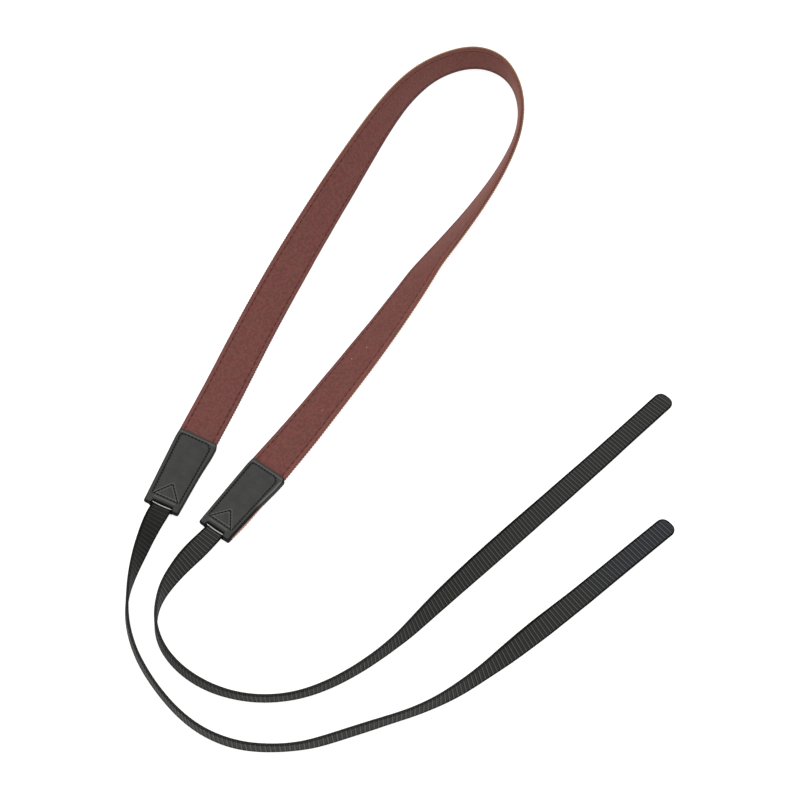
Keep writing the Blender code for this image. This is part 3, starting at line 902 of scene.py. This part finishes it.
def tab_core(name, placing, material):
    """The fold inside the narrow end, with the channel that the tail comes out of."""
    depths = (TAB_SEAM_END, 0.038, 0.0395, 0.0405, 0.0411, 0.0414)
    pinch = (0.0, 0.0, 0.0, 0.0, 0.0001, 0.0004)
    channel = NOTCH_HALF - 0.0002
    floor_top = WEBBING_MIDDLE - WEBBING_THICKNESS / 2 - 0.00015
    tops, bottoms = [], []
    for depth, squeeze in zip(depths, pinch):
        half = tab_half(depth) - LEAF_THICKNESS - squeeze
        roof = plane_height(depth) - LEAF_THICKNESS - squeeze
        across = [-half, -channel - 0.0004, -channel, -channel + 0.00005, channel - 0.00005,
                  channel, channel + 0.0004, half]
        height = [roof, roof, roof - 0.0002, floor_top, floor_top, roof - 0.0002, roof, roof]
        tops.append([(depth, v, h) for v, h in zip(across, height)])
        bottoms.append([(depth, v, 0.0006 + squeeze) for v in across])
    tops, bottoms = np.array(tops), np.array(bottoms)
    plain = np.zeros(tops.shape[:2])
    # The core's upper side, seen only down the channel and past the leaves, is painted dark as
    # shade
    return shell(name, placed(placing, *np.moveaxis(tops, 2, 0)),
                 placed(placing, *np.moveaxis(bottoms, 2, 0)), material,
                 lie=(tops, bottoms), border=plain, crease=(plain + 0.8, plain))


def lip_roll(name, placing, material):
    """The roll of leather that lies over the tail where it comes out, painted light grey as its
    highlight.
    """
    half = NOTCH_HALF - 0.0003
    across = np.linspace(-half, half, 25)
    share = across / half
    radius = LIP_ROLL_RADIUS * np.sqrt(np.clip(1 - np.abs(share) ** 8, 0.04, 1))[:, None]
    turns = np.linspace(0, np.pi, 9)
    depth = (LIP_ROLL_DEPTH - 0.0003 * share ** 2)[:, None] + radius * np.cos(turns)
    height = WEB_TOP + 0.00045
    lift = radius * np.sin(turns)
    spans = np.broadcast_to(across[:, None], depth.shape)
    return shell(name, placed(placing, depth, spans, height + lift),
                 placed(placing, depth, spans, height - lift - 0.00001), material)


def tab_stitches(name, placing, under, material):
    """The sewing round a tab, and its triangle, on the upper or the lower leaf."""
    border, triangle = tab_seams()
    depth, across, forward = [], [], []
    for (u0, v0), (u1, v1) in border + triangle:
        length = math.hypot(u1 - u0, v1 - v0)
        count = max(1, round(length / TAB_STITCH_PITCH))
        for k in range(count):
            share = (k + 0.5) / count
            depth.append(u0 + (u1 - u0) * share)
            across.append(v0 + (v1 - v0) * share)
            forward.append(((u1 - u0) / length, (v1 - v0) / length, 0.0))
    depth, across = np.array(depth), np.array(across)
    relief, _, _ = leaf_relief(depth, across)
    height = -0.5 * relief if under else plane_height(depth) + relief
    facing = -1.0 if under else 1.0
    turn = np.array(placing)[:3, :3]
    centres = placed(placing, depth, across, height + facing * 0.00003)
    forwards = np.array(forward) @ turn.T
    normals = np.tile(turn[:, 2] * facing, (len(depth), 1))
    return stitches(name, centres, forwards, normals, TAB_STITCH_PITCH * 0.66,
                    TAB_THREAD_RADIUS, TAB_THREAD_SINK, material)


def end_tab(side, placing, open_side, leather, lip_highlight, thread):
    """Every piece of one tab, upper leaf first."""
    grid = leaf_grid(UPPER_SPACING, True)
    upper = leaf(f"tab_{side}_upper_leaf", placing, grid, *upper_heights(*grid), leather,
                 open_side)
    grid = leaf_grid(LOWER_SPACING, False)
    lower = leaf(f"tab_{side}_lower_leaf", placing, grid, *lower_heights(*grid, open_side),
                 leather)
    return [
        upper,
        lower,
        tab_core(f"tab_{side}_core", placing, leather),
        lip_roll(f"tab_{side}_lip_roll", placing, lip_highlight),
        tab_stitches(f"tab_{side}_stitches", placing, False, thread),
        tab_stitches(f"tab_{side}_under_stitches", placing, True, thread),
    ]


# Black tails

TAPE_COLUMNS = (0.0, 0.00012, 0.0003, 0.0005, 0.0007, 0.00095, 0.0013, 0.0028)


def tail(name, course, pitch, seed, cast, faint, material):
    """A grosgrain tail: ribs on both sides, dark edges and an oval, sealed tip.

    cast is how cool its end looks, and faint how far the painted rib highlights fade by the tab.
    Where the tail stands on edge, its painted rib highlights run out to the edge and its upper
    dark line fades.
    """
    step = pitch / 10
    plain_end = course.length - TIP_LENGTH
    along = np.arange(-WEBBING_TUCK, plain_end, step)
    tip = plain_end + TIP_LENGTH * np.sin(np.linspace(0, np.pi / 2, 16))
    along = np.concatenate([along[along < plain_end - step / 2], tip])
    into = np.clip((along - plain_end) / TIP_LENGTH, 0.0, 1.0)
    blunt = TIP_BLUNT_WIDTH / 2
    serration = 0.00009 * (0.5 - 0.5 * np.cos(4 * np.pi * along / pitch))
    full = WEBBING_WIDTH / 2 - serration + 0.00004 * wobble(along, seed)
    half = blunt + (full - blunt) * np.sqrt(1 - into ** 2)
    across = columns(TAPE_COLUMNS, half)
    edge = edge_distance(across, half)
    outline = np.minimum(edge, (course.length - along)[:, None])
    skew = 0.00012 * wobble(along, seed + 2)[:, None] * across / WEBBING_WIDTH * 4
    place = along[:, None] + skew
    sealed = rise((along - (course.length - SEALED_LENGTH)) / 0.0008)[:, None]
    inside = rise((edge - 0.00035) / 0.0004) * (1 - sealed)
    tilt = np.radians(np.interp(along, course.along, course.bank))
    standing = np.abs(np.sin(tilt))[:, None] ** 3
    striped = np.maximum(inside, 0.6 * standing * (1 - sealed))
    groove = 0.0001 * hump(edge - 0.0005, 0.00012) * (1 - sealed)
    thinned = 1 - 0.35 * rise((along - course.length + 0.0008) / 0.0008)[:, None]
    body = WEBBING_THICKNESS / 2 * quarter(edge / 0.00042) * thinned
    fade = (1 - faint * drop((along - 0.025) / 0.035))[:, None]
    heights, crests = [], []
    for turn, facing in ((0.0, 1.0), (pitch / 2, -1.0)):
        relief = TAIL_RIB_DEPTH * (1 - ribs(place + turn, pitch, 2.2)) * inside + groove
        heights.append(facing * (body - relief))
        # lines are the painted highlights on the rib crests
        lines = ribs(place + turn, pitch, 7) + 0.36 * ribs(place + turn + pitch / 2, pitch, 6)
        crests.append(np.where(sealed > 0.5, 0.3, 0.04 + 0.96 * lines * striped * fade))
    far = drop((outline - 0.00085) / 0.0003) * (1 - 0.85 * standing)
    near = drop((outline - 0.0005 - 0.00045 * standing) / 0.0003)
    dark = np.where(across > 0, far, near)
    cool = cast * rise((along - course.length + 0.065) / 0.04)[:, None]
    item = strap_skin(name, course, along, across, *heights, material, crest=tuple(crests),
                      crease=dark, cool=np.broadcast_to(cool, across.shape))
    return item, WEBBING_TUCK + course.length


# Stage

def make_floor():
    bpy.ops.mesh.primitive_grid_add(x_subdivisions=8, y_subdivisions=8, size=FLOOR_SIZE,
                                    location=(0.0, 0.0, FLOOR_HEIGHT))
    floor = bpy.context.object
    floor.name = "floor"
    look = Finish("pale_floor", Specular_IOR_Level=0.0, Roughness=0.9,
                  Base_Color=(0.5, 0.5, 0.5, 1.0), Emission_Color=(1.0, 1.0, 1.0, 1.0),
                  Emission_Strength=0.8)
    floor.data.materials.append(look.material)
    return floor


def make_lights():
    world = bpy.data.worlds.new("studio")
    bpy.context.scene.world = world
    world.use_nodes = True
    sky = world.node_tree.nodes["Background"]
    sky.inputs["Color"].default_value = (1.0, 1.0, 1.0, 1.0)
    sky.inputs["Strength"].default_value = 0.85
    for name, place, size, power in (("softbox_above", (0.0, 0.3, 1.3), 0.9, 6.0),
                                     ("softbox_left", (-0.9, -0.1, 0.9), 0.6, 0.8)):
        data = bpy.data.lights.new(name, "AREA")
        data.shape = "SQUARE"
        data.size = size
        data.energy = power
        lamp = bpy.data.objects.new(name, data)
        bpy.context.scene.collection.objects.link(lamp)
        lamp.location = place
        lamp.rotation_euler = (-Vector(place)).to_track_quat("-Z", "Y").to_euler()


def make_camera():
    target = Vector((-0.0045, -0.0224, 0.0))
    distance = 0.75
    elevation = math.radians(58.5)
    data = bpy.data.cameras.new("camera")
    data.sensor_width = 36.0
    data.lens = 67.5
    camera = bpy.data.objects.new("camera", data)
    bpy.context.scene.collection.objects.link(camera)
    camera.location = target + Vector((0, -math.cos(elevation), math.sin(elevation))) * distance
    camera.rotation_euler = (math.pi / 2 - elevation, 0.0, 0.0)
    bpy.context.scene.camera = camera


# Assembly

def lay_out():
    """The three courses and two tab placings, set where the frame's nodes lie."""
    _, heading, roll = PAD_COURSE[0]
    roll_height = TAB_WIDE_WIDTH / 2 * math.sin(math.radians(roll))
    left = tab_placing(heading, roll, -1, Vector((0, 0, roll_height)))
    pad = Course(PAD_COURSE, PAD_LENGTH, left @ Vector((0, 0, STACK_MIDDLE)), 1,
                 BACKING_WIDTH, STACK_THICKNESS, end_height=STACK_MIDDLE)
    middle, _, _, normal = pad.at(np.array([PAD_LENGTH]))
    right = tab_placing(pad.heading[-1], TAB_ROLL_RIGHT, 1,
                        Vector(middle[0] - normal[0] * STACK_MIDDLE))
    root = Vector((TAB_LENGTH, 0.0, WEBBING_MIDDLE))
    tails = [Course(rows, length, placing @ root, -1, WEBBING_WIDTH, WEBBING_THICKNESS)
             for rows, length, placing in ((TAIL_LEFT_COURSE, TAIL_LEFT_LENGTH, left),
                                           (TAIL_RIGHT_COURSE, TAIL_RIGHT_LENGTH, right))]
    shift = frame_shift(pad)
    for course in [pad] + tails:
        course.move(shift)
    placings = [Matrix.Translation(Vector(shift)) @ placing for placing in (left, right)]
    return pad, tails, placings


def frame_shift(pad):
    """How far the frame's band lies from this one, from the boxes of both in plan."""
    along = pad.along
    half = np.full((len(along), 1), BACKING_WIDTH / 2)
    under = np.full((len(along), 2), -STACK_THICKNESS / 2)
    points = pad.surface(along, np.concatenate([-half, half], axis=1), under).reshape(-1, 3)
    _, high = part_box("pad_backing")
    return np.array([high[0] - points[:, 0].max(), high[1] - points[:, 1].max(), 0.0])


def dress(piece, slot, *nodes):
    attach(piece, "root")
    if nodes:
        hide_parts(*nodes)


def build():
    pad, tails, placings = lay_out()
    tab_finishes = (black_leather_finish(), lip_highlight_finish(),
                    thread_finish("black_thread", (9, 9, 9), (24, 24, 23)))
    brown_thread = thread_finish("brown_thread", (48, 26, 23), (72, 41, 36))
    face, face_length = face_layer(pad, brown_face_finish())
    backing, backing_length = backing_layer(pad, brown_ribbed_finish())
    face_stitches = band_stitches(pad, "band_stitches", STACK_THICKNESS / 2 - 0.00034, 1.0,
                                  brown_thread)
    back_stitches = band_stitches(pad, "backing_stitches", -STACK_THICKNESS / 2 + 0.0001, -1.0,
                                  brown_thread)
    dress(face, "brown_face", "neck_pad")
    dress(backing, "brown_ribbed", "pad_backing")
    dress(face_stitches, "brown_face")
    dress(back_stitches, "brown_ribbed")
    for side, placing, open_side in (("left", placings[0], 0), ("right", placings[1], 1)):
        pieces = end_tab(side, placing, open_side, *tab_finishes)
        for k, piece in enumerate(pieces):
            dress(piece, "black_leather", *([f"end_tab_{side}"] if k == 0 else []))
    webbing = black_webbing_finish()
    left, left_length = tail("tail_left", tails[0], RIB_PITCH_LEFT, 0.7, 1.0, 0.6, webbing)
    right, right_length = tail("tail_right", tails[1], RIB_PITCH_RIGHT, 2.9, 0.0, 0.0, webbing)
    dress(left, "black_webbing", "webbing_left")
    dress(right, "black_webbing", "webbing_right")


floor = make_floor()
make_lights()
make_camera()
bpy.context.scene.view_settings.view_transform = "Standard"
build()
